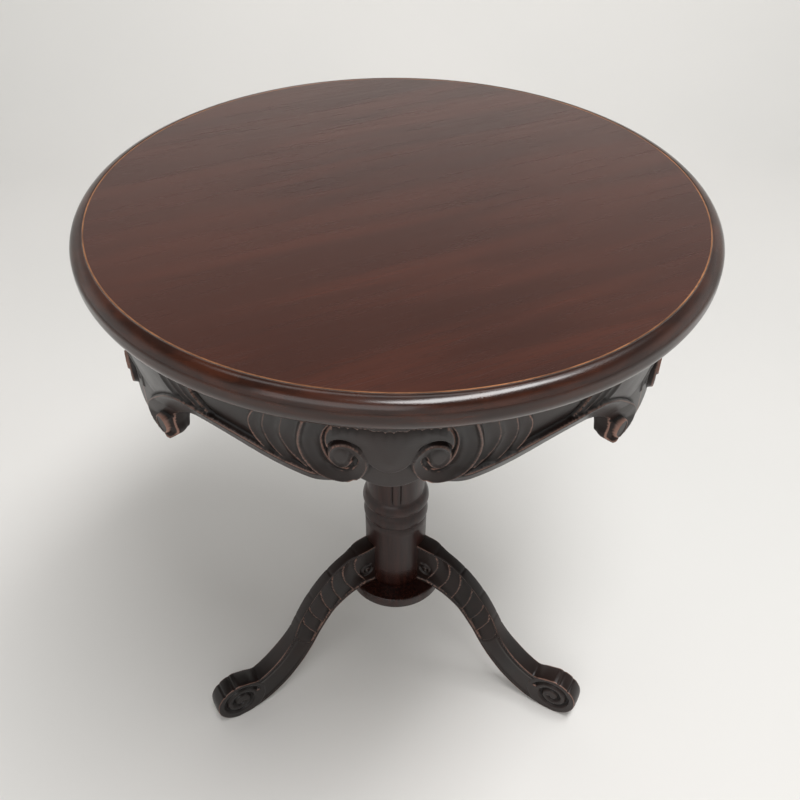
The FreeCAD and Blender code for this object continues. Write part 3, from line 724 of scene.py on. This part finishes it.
def leg_height(points):
    """Height of a leg's side face over its plank, never above it."""
    r, z = points[:, 0], points[:, 1]
    up, _, _ = distance_to(LEG_UPPER, points)
    low, _, _ = distance_to(LEG_LOWER, points)
    share = low / (low + up)
    along = smoothstep(50, 75, r) * (1 - smoothstep(135, 185, r))
    lean = -4.5 * smoothstep(0.3, 1.0, share) * along
    height = np.full(len(points), -0.5)

    high, down = signed(PANEL_HIGH, points), signed(PANEL_LOW, points)
    tip = signed(LEAF_LINES[-1], points)
    panel = (high < 0) & (down > 0) & (tip < 0) & (r < 156)
    sides = [signed(line, points) for line in LEAF_LINES]
    leaves = np.full(len(points), -2.2)
    for near, far in zip(sides[:-1], sides[1:]):
        between = (near > 0) & (far <= 0)
        rise = np.clip(near / np.maximum(near - far, 1e-6), 0, 1)
        leaves = np.where(between, -4.4 + 3.6 * rise ** 1.7, leaves)
    first = sides[0] <= 0
    leaves = np.where(first, -1.6 + 0.05 * sides[0].clip(-12, 0), leaves)
    coil = spiral_groove(points, ROOT_VOLUTE, 10.5, 2.0, 5.5, 120, 2.2)
    leaves = np.where(first, leaves - 2.4 * coil, leaves)
    margin = np.minimum(-high, down)
    leaves = leaves - 1.4 * (1 - smoothstep(0, 1.8, margin))
    height = np.where(panel, leaves, height)
    beyond = (tip > 0) & (tip < 3.0) & (high < 1.0) & (down > -1.0) & (r > 130)
    height = np.where(beyond, -2.2 + 1.7 * smoothstep(0, 3, tip), height)

    lower_part = smoothstep(140, 160, r) * (1 - smoothstep(205, 222, r))
    groove = ridge(up - 5.0, 1.6) * lower_part
    nick = 0.5 + 0.5 * np.cos((r - z) * 2 * math.pi / 7.4)
    nicked = smoothstep(150, 158, r) * (1 - smoothstep(188, 196, r))
    nicks = nick ** 2 * ridge(up - 3.4, 1.8) * nicked
    height = height - 1.4 * groove - 2.0 * nicks
    height = height - 0.9 * smoothstep(6, 12, up) * smoothstep(4, 9, low) * lower_part
    lined = smoothstep(62, 80, r) * (1 - smoothstep(200, 225, r))
    height = height - 1.6 * ridge(low - 3.2, 1.2) * lined

    offset = np.hypot(r - TOE_CENTRE[0], z - TOE_CENTRE[1])
    foot = offset < TOE_RADIUS
    ring = spiral_groove(points, (241.0, 31.5), 25.5, 4.5, 11.0, 165, 3.6)
    height = np.where(foot, -0.1 - 4.0 * ring ** 0.7, height)
    edge = resample(np.vstack([leg_outline(), leg_outline()[:1]]), 2.0)
    distance, _, _ = distance_to(edge, points)
    return height + lean - edge_round(distance, 1.8)


def make_legs(material):
    """Three legs, carved alike on both sides."""
    plank = leg_outline()
    outline = plank + inward(plank) * LEG_CROWN
    count = len(outline)
    relief = Relief((LEG_ROOT - 1, -1), (FOOT_REACH + 1, 219), leg_height,
                    lambda points: inside(plank, points))
    face, triangles = carved_face(outline, LEAF_LINES + [PANEL_HIGH, PANEL_LOW], FACE_SPACING * 0.9)
    height = LEG_HALF + relief.at(relief.height, face)
    wear, hollow_shade = relief.at(relief.wear, face), relief.at(relief.hollow_shade, face)
    rows, row_wear = [], []
    for share in LEG_ROWS:
        side = 1 - 2 * share
        bulge = 1 - abs(side) ** 3
        place = outline + (plank - outline) * bulge
        rows.append(np.column_stack([place, side * height[:count]]))
        row_wear.append(wear[:count] * max(0.0, abs(side) * 5 - 4))
    front = np.column_stack([face, height])
    layers = {
        "wear": np.concatenate([wear] + row_wear + [wear]),
        # Painted shade: the relief's hollows on both faces and an even 0.15 on the narrow edges.
        "hollow_shade": np.concatenate([hollow_shade, np.full(count * len(rows), 0.15), hollow_shade]),
    }
    pieces = []
    for node, azimuth in (("leg_front_right", -30), ("leg_back", 90), ("leg_front_left", 210)):
        turned = [turned_out(points, azimuth) for points in [front] + rows + [front * (1, 1, -1)]]
        piece = closed_board(
            node.replace("leg", "carved_leg"), (turned[0], triangles), turned[1:-1],
            (turned[-1], triangles), count, material, layers)
        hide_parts(node)
        pieces.append(piece)
    return pieces


def turned_out(points, azimuth):
    """Points of (outwards, up, sideways) in a leg's plane, turned to its azimuth."""
    out, up, side = points.T
    cosine, sine = math.cos(math.radians(azimuth)), math.sin(math.radians(azimuth))
    return np.stack([out * cosine - side * sine, out * sine + side * cosine, up], axis=1)


# ---- turned pieces

def bend(start, middle, end, steps=10):
    """The round arc through three points, without its last point."""
    (ax, ay), (bx, by), (cx, cy) = start, middle, end
    twice = 2 * (ax * (by - cy) + bx * (cy - ay) + cx * (ay - by))
    squares = [x * x + y * y for x, y in (start, middle, end)]
    ux = (squares[0] * (by - cy) + squares[1] * (cy - ay) + squares[2] * (ay - by)) / twice
    uy = (squares[0] * (cx - bx) + squares[1] * (ax - cx) + squares[2] * (bx - ax)) / twice
    first, mid, last = (math.atan2(y - uy, x - ux) for x, y in (start, middle, end))
    full = 2 * math.pi
    sweep = (last - first) % full
    if (mid - first) % full > sweep:
        sweep -= full
    angles = first + sweep * np.linspace(0, 1, steps, endpoint=False)
    radius = math.hypot(ax - ux, ay - uy)
    return np.stack([ux + radius * np.cos(angles), uy + radius * np.sin(angles)], axis=1)


def make_rim(material):
    """The moulded rim as one turned ring: rounded edge, flat underside and inner ledge."""
    top_corner = (INLAY_RADIUS, TABLE_TOP)
    widest = (RIM_RADIUS, (TABLE_TOP + RIM_BOTTOM) / 2)
    under_corner = (284.5, RIM_BOTTOM)
    profile = np.vstack([
        bend(top_corner, (295.0, 687.4), widest, 16),
        bend(widest, (295.6, 663.4), under_corner, 16),
        rounded([
            (*under_corner, 0), (262.0, RIM_BOTTOM, 1.5), (262.0, LEDGE, 0.5),
            (INLAY_RADIUS - 1.2, LEDGE, 0.3), (INLAY_RADIUS - 1.2, INLAY_BOTTOM, 0.2),
            (INLAY_RADIUS, INLAY_BOTTOM, 0),
        ]),
    ])
    profile[:, 0] = np.minimum(profile[:, 0], RIM_RADIUS)
    piece = lathe("moulded_rim", profile, np.radians(np.arange(0, 360, 0.75)), material)
    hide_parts("rim_segment_1", "rim_segment_2", "rim_segment_3", "rim_segment_4")
    return piece


LINE_ANGLES = [side + step for side in (-90, 30, 150) for step in (-8, 8)]


def shaft_lines(angles, height):
    """Depth of the straight lines cut up the shaft, two to each side."""
    depth = np.zeros(np.broadcast(angles, height).shape)
    ends = smoothstep(300, 303.5, height) * (1 - smoothstep(549, 553, height))
    for centre in LINE_ANGLES:
        gap = np.degrees(np.angle(np.exp(1j * (angles - math.radians(centre)))))
        depth = depth + 2.2 * (1 - smoothstep(0.5, 1.5, np.abs(gap))) * ends
    return depth


def make_column(material):
    """The turned column: drum, three rings, tapered shaft with cut lines, and collar."""
    flat = np.linspace(COLUMN_BOTTOM + 0.5, 243, 20)
    shaft = np.linspace(299, 555, 60)
    profile = np.vstack([
        [(0.5, COLUMN_BOTTOM), (12, COLUMN_BOTTOM), (37.9, COLUMN_BOTTOM)],
        np.stack([np.full(20, 38.5), flat], axis=1),
        bend((38.5, 244), (37.6, 251), (34.5, 256)), [(34.2, 256.6), (34.2, 257.6), (34.6, 258.4)],
        [(39.2, 258.8)], bend((39.7, 259.3), (38.9, 268), (35.2, 275)), [(34.7, 276), (34.4, 280.6)],
        [(34.8, 281.6), (40.1, 282.3)], bend((40.6, 282.9), (39.6, 291), (35.6, 297)),
        [(34.8, 297.8)],
        np.stack([34.6 + (43.5 - 34.6) * (shaft - 298) / (556 - 298), shaft], axis=1),
        bend((43.5, 556), (50.0, 564), (43.5, 572)), [(42.5, 573), (40.9, 577), (40.5, 582)],
        bend((40.5, 583), (44.0, 610.4), (53.5, BLOCK_BOTTOM), 16), [(53.5, BLOCK_BOTTOM)],
        [(20.0, BLOCK_BOTTOM), (20.0, 655), (20.0, COLUMN_TOP), (10.0, COLUMN_TOP), (0.5, COLUMN_TOP)],
    ])
    coarse = np.arange(0, 360, 3.0)
    fine = np.concatenate([centre + np.arange(-2.2, 2.25, 0.2) for centre in LINE_ANGLES])
    angles = np.radians(np.unique(np.round(np.mod(np.concatenate([coarse, fine]), 360), 3)))
    piece = lathe("turned_column", profile, angles, material, dent=shaft_lines)
    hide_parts("column")
    return piece


def make_disc(material):
    """The round disc under the column, with a softly rounded upper edge."""
    high = COLUMN_BOTTOM
    profile = np.vstack([
        [(0.5, DISC_BOTTOM), (30, DISC_BOTTOM), (58, DISC_BOTTOM)],
        rounded([
            (58.5, DISC_BOTTOM, 0), (DISC_RADIUS, DISC_BOTTOM, 1.2), (DISC_RADIUS, high, 5.0),
            (54, high, 0),
        ], 8),
        [(40, high), (20, high), (0.5, high)],
    ])
    piece = lathe("turned_disc", profile, np.radians(np.arange(0, 360, 2.0)), material)
    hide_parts("base_disc")
    return piece


# ---- materials

def linear(red, green, blue):
    """A display colour, 0 to 255, as the scene colour that the shaders use."""
    values = [channel / 255 for channel in (red, green, blue)]
    lights = [v / 12.92 if v <= 0.04045 else ((v + 0.055) / 1.055) ** 2.4 for v in values]
    return (*lights, 1.0)


class Shader:
    """A node material, with short calls for the nodes that the woods share."""

    def __init__(self, name):
        self.material = bpy.data.materials.new(name)
        self.material.use_nodes = True
        self.nodes = self.material.node_tree.nodes
        self.links = self.material.node_tree.links
        self.surface = self.nodes["Principled BSDF"]
        self.place = self.nodes.new("ShaderNodeTexCoord").outputs["Object"]

    def plug(self, socket, value):
        if isinstance(value, bpy.types.NodeSocket):
            self.links.new(value, socket)
        else:
            socket.default_value = value

    def stretched(self, scale, turn=(0, 0, 0)):
        """Object coordinates, turned and then scaled along each axis."""
        spin = self.nodes.new("ShaderNodeMapping")
        spin.inputs["Rotation"].default_value = [math.radians(angle) for angle in turn]
        self.links.new(self.place, spin.inputs["Vector"])
        size = self.nodes.new("ShaderNodeMapping")
        size.inputs["Scale"].default_value = scale
        self.links.new(spin.outputs["Vector"], size.inputs["Vector"])
        return size.outputs["Vector"]

    def noise(self, vector, scale, detail=4.0, rough=0.55, warp=0.0):
        node = self.nodes.new("ShaderNodeTexNoise")
        self.plug(node.inputs["Vector"], vector)
        fixed = {"Scale": scale, "Detail": detail, "Roughness": rough, "Distortion": warp}
        for key, value in fixed.items():
            node.inputs[key].default_value = value
        return node.outputs["Fac"]

    def ramp(self, value, low, high, start=0.0, end=1.0):
        """The value from low to high, moved to run from start to end."""
        node = self.nodes.new("ShaderNodeMapRange")
        node.interpolation_type = "SMOOTHSTEP"
        fixed = {"From Min": low, "From Max": high, "To Min": start, "To Max": end}
        for key, number in fixed.items():
            node.inputs[key].default_value = number
        self.plug(node.inputs["Value"], value)
        return node.outputs["Result"]

    def blend(self, amount, first, second):
        node = self.nodes.new("ShaderNodeMix")
        node.data_type = "RGBA"
        self.plug(node.inputs[0], amount)
        self.plug(node.inputs[6], first)
        self.plug(node.inputs[7], second)
        return node.outputs[2]

    def over(self, colour, value, low, high, most, other):
        """The colour, covered by another where the value is high."""
        return self.blend(self.ramp(value, low, high, 0.0, most), colour, other)

    def math(self, kind, first, second):
        node = self.nodes.new("ShaderNodeMath")
        node.operation = kind
        self.plug(node.inputs[0], first)
        self.plug(node.inputs[1], second)
        return node.outputs[0]

    def painted(self, name):
        """A value stored on the mesh's points."""
        node = self.nodes.new("ShaderNodeAttribute")
        node.attribute_name = name
        return node.outputs["Fac"]

    def bump(self, height, strength, distance):
        node = self.nodes.new("ShaderNodeBump")
        node.inputs["Strength"].default_value = strength
        node.inputs["Distance"].default_value = distance * MM
        self.plug(node.inputs["Height"], height)
        self.links.new(node.outputs["Normal"], self.surface.inputs["Normal"])

    def finish(self, colour, roughness, **fixed):
        self.plug(self.surface.inputs["Base Color"], colour)
        self.plug(self.surface.inputs["Roughness"], roughness)
        for key, value in fixed.items():
            self.surface.inputs[key.replace("_", " ")].default_value = value
        return self.material


def veneer():
    """Polished red-brown veneer with long soft figure and short dark pores."""
    wood = Shader("face_veneer")
    grain = wood.stretched((1, 9, 1), (0, 0, -24))
    figure = wood.noise(grain, 3.2, 5, 0.5, 0.35)
    streak = wood.noise(wood.stretched((2.2, 60, 1), (0, 0, -24)), 5.0, 6, 0.62)
    pores = wood.noise(wood.stretched((14, 520, 1), (0, 0, -24)), 3.0, 2, 0.5)
    cloud = wood.noise(wood.place, 3.0, 2, 0.5)
    colour = wood.blend(wood.ramp(figure, 0.36, 0.66), linear(54, 28, 21), linear(68, 35, 26))
    colour = wood.over(colour, streak, 0.42, 0.68, 0.35, linear(44, 21, 15))
    colour = wood.over(colour, cloud, 0.4, 0.65, 0.35, linear(70, 38, 28))
    colour = wood.over(colour, pores, 0.58, 0.68, 0.35, linear(40, 19, 14))
    wood.bump(pores, 0.05, 0.15)
    rough = wood.ramp(streak, 0.3, 0.7, 0.22, 0.28)
    return wood.finish(colour, rough, Specular_IOR_Level=0.5)


def rim_wood():
    """Darker stained rim, its grain running round it, under the same polish."""
    wood = Shader("rim_wood_finish")
    streak = wood.noise(wood.stretched((8, 8, 55)), 3.0, 6, 0.6, 0.3)
    cloud = wood.noise(wood.place, 7.0, 3, 0.5)
    fleck = wood.noise(wood.stretched((40, 40, 160)), 4.0, 3, 0.6)
    colour = wood.blend(wood.ramp(streak, 0.35, 0.7), linear(34, 15, 8), linear(60, 29, 17))
    colour = wood.over(colour, cloud, 0.4, 0.7, 0.5, linear(30, 13, 8))
    colour = wood.over(colour, fleck, 0.6, 0.72, 0.4, linear(20, 9, 6))
    wood.bump(fleck, 0.12, 0.3)
    rough = wood.ramp(cloud, 0.3, 0.7, 0.17, 0.25)
    return wood.finish(colour, rough, Specular_IOR_Level=0.5)


def carved_wood():
    """Dark stained carving: painted shade, near black, in the hollows and paler rubbed arrises."""
    wood = Shader("carved_wood_finish")
    wear, hollow_shade = wood.painted("wear"), wood.painted("hollow_shade")
    cloud = wood.noise(wood.place, 14.0, 4, 0.6)
    grain = wood.noise(wood.stretched((60, 60, 260)), 3.0, 5, 0.65)
    colour = wood.blend(wood.ramp(cloud, 0.35, 0.68), linear(17, 9, 7), linear(32, 18, 14))
    colour = wood.over(colour, grain, 0.5, 0.75, 0.5, linear(17, 11, 9))
    # Painted shade: near black in the hollows.
    colour = wood.over(colour, hollow_shade, 0.15, 1.0, 0.85, linear(9, 5, 4))
    patches = wood.ramp(cloud, 0.3, 0.6, 0.45, 1.0)
    patchy = wood.math("MULTIPLY", wood.ramp(wear, 0.25, 0.95), patches)
    colour = wood.blend(patchy, colour, linear(142, 108, 95))
    wood.bump(grain, 0.25, 0.35)
    dull = wood.ramp(hollow_shade, 0.2, 1.0, 0.0, 0.2)
    rough = wood.math("ADD", wood.ramp(cloud, 0.3, 0.7, 0.30, 0.42), dull)
    return wood.finish(colour, rough, Specular_IOR_Level=0.36)


def turned_wood():
    """Dark red-brown turned wood, its grain up the column, with a soft sheen."""
    wood = Shader("turned_wood_finish")
    grain = wood.noise(wood.stretched((120, 120, 6)), 2.0, 6, 0.6, 0.2)
    cloud = wood.noise(wood.place, 9.0, 3, 0.5)
    colour = wood.blend(wood.ramp(grain, 0.35, 0.7), linear(30, 14, 11), linear(52, 26, 20))
    colour = wood.over(colour, cloud, 0.4, 0.7, 0.5, linear(26, 13, 10))
    wood.bump(grain, 0.15, 0.3)
    rough = wood.ramp(cloud, 0.3, 0.7, 0.26, 0.38)
    return wood.finish(colour, rough, Specular_IOR_Level=0.42)


def inlay():
    """The thin line of paler wood let in round the top, in short lengths of changing tone."""
    wood = Shader("inlay_line_finish")
    tone = wood.noise(wood.place, 18.0, 3, 0.6)
    fine = wood.noise(wood.place, 160.0, 3, 0.6)
    colour = wood.blend(wood.ramp(tone, 0.35, 0.65), linear(104, 66, 40), linear(150, 100, 62))
    colour = wood.over(colour, fine, 0.5, 0.7, 0.5, linear(70, 40, 24))
    wood.bump(fine, 0.1, 0.2)
    return wood.finish(colour, wood.ramp(tone, 0.3, 0.7, 0.3, 0.42), Specular_IOR_Level=0.5)


def inner_timber():
    """Unpolished timber under the top, stained thinly."""
    wood = Shader("inner_timber_finish")
    grain = wood.noise(wood.stretched((6, 90, 90)), 3.0, 6, 0.62, 0.4)
    cloud = wood.noise(wood.place, 12.0, 3, 0.5)
    colour = wood.blend(wood.ramp(grain, 0.35, 0.7), linear(92, 62, 42), linear(140, 101, 70))
    colour = wood.over(colour, cloud, 0.4, 0.7, 0.5, linear(78, 50, 34))
    wood.bump(grain, 0.4, 0.5)
    return wood.finish(colour, wood.ramp(cloud, 0.3, 0.7, 0.6, 0.75), Specular_IOR_Level=0.3)


def screw_steel():
    """Plain screw steel, slightly dulled."""
    steel = Shader("screw_steel_finish")
    dull = steel.noise(steel.place, 220.0, 4, 0.6)
    colour = steel.blend(steel.ramp(dull, 0.35, 0.7), linear(120, 118, 114), linear(170, 168, 162))
    steel.bump(dull, 0.1, 0.1)
    return steel.finish(colour, steel.ramp(dull, 0.3, 0.7, 0.28, 0.5), Metallic=1.0)


def paint(material, *names):
    """Give the finish to CAD nodes that stay in view."""
    for name in names:
        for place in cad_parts[name].material_slots:
            place.material = material


# ---- stage, lights and camera

def make_stage():
    """A pale floor that sweeps up behind into a backdrop."""
    profile = np.vstack([
        [(-4000, -0.3), (1400, -0.3)],
        arc((1400, 1199.7), 1200, -90, 0, 24)[1:],
        [(2600, 1900)],
    ])
    columns = np.linspace(-5000, 5000, 12)
    points = np.array([(x, y, z) for y, z in profile for x in columns])
    low, left = np.meshgrid(np.arange(len(profile) - 1), np.arange(len(columns) - 1), indexing="ij")
    first = (low * len(columns) + left).ravel()
    quads = np.stack([first, first + 1, first + 1 + len(columns), first + len(columns)], axis=1)
    paper = Shader("pale_backdrop")
    tone = paper.noise(paper.place, 0.8, 2, 0.5)
    colour = paper.blend(paper.ramp(tone, 0.3, 0.7), linear(222, 221, 218), linear(228, 226, 223))
    material = paper.finish(colour, paper.ramp(tone, 0.3, 0.7, 0.75, 0.85), Specular_IOR_Level=0.2)
    make_object("backdrop", points, quads, material)


def area_light(name, place, target, size, power):
    """A rectangular soft light, in metres and watts, that points at its target."""
    light = bpy.data.lights.new(name, "AREA")
    light.shape = "RECTANGLE"
    light.size, light.size_y = size
    light.energy = power
    lamp = bpy.data.objects.new(name, light)
    lamp.location = place
    lamp.rotation_euler = (Vector(target) - Vector(place)).to_track_quat("-Z", "Y").to_euler()
    bpy.context.scene.collection.objects.link(lamp)


def make_lights():
    """Three soft panels, in a room that is pale low down and dark above."""
    area_light("ceiling_panel", (0.6, -0.45, 3.0), (0.1, -0.1, 0.4), (2.0, 0.7), 72)
    area_light("backdrop_wash", (0.3, 0.9, 3.4), (0.2, 2.2, 0.6), (3.5, 0.8), 20)
    area_light("front_fill", (-0.9, -2.4, 2.4), (0.0, 0.0, 0.2), (2.4, 1.4), 20)
    world = bpy.data.worlds.new("pale_room")
    world.use_nodes = True
    nodes, links = world.node_tree.nodes, world.node_tree.links
    place = nodes.new("ShaderNodeTexCoord")
    split = nodes.new("ShaderNodeSeparateXYZ")
    links.new(place.outputs["Generated"], split.inputs["Vector"])
    height = nodes.new("ShaderNodeMapRange")
    height.interpolation_type = "SMOOTHSTEP"
    fixed = {"From Min": 0.3, "From Max": 0.7, "To Min": 0.8, "To Max": 0.12}
    for key, value in fixed.items():
        height.inputs[key].default_value = value
    links.new(split.outputs["Z"], height.inputs["Value"])
    links.new(height.outputs["Result"], nodes["Background"].inputs["Strength"])
    nodes["Background"].inputs["Color"].default_value = (1.0, 0.98, 0.95, 1)
    bpy.context.scene.world = world
    bpy.context.scene.view_settings.view_transform = "Standard"


def make_camera():
    """A camera above and in front of the table, looking down at it."""
    lens = bpy.data.cameras.new("camera")
    lens.lens = 40.5
    lens.sensor_width = 36.0
    camera = bpy.data.objects.new("camera", lens)
    camera.location = (-0.01739, -0.76631, 1.09838)
    camera.rotation_euler = Euler([math.radians(angle) for angle in (49.155, -0.408, -1.237)])
    bpy.context.scene.collection.objects.link(camera)
    bpy.context.scene.camera = camera


# ---- everything together

make_camera()
make_lights()
make_stage()
carving = carved_wood()
turning = turned_wood()
pieces = [make_rim(rim_wood()), make_column(turning), make_disc(turning)]
pieces += make_aprons(carving) + make_legs(carving)
for piece in pieces:
    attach(piece, "root")

paint(veneer(), "top_veneer")
paint(inlay(), "inlay_stringing")
paint(screw_steel(), "apron_screws", "cleat_screws", "top_block_screws", "base_disc_screws")
glue_blocks = [f"{kind}_block_{index}" for kind in ("joint", "middle") for index in (1, 2, 3)]
paint(inner_timber(), "top_core", "backing_veneer", "rim_splines", "cleat_front", "cleat_back",
      "top_block", "tenon_wedge", *glue_blocks)
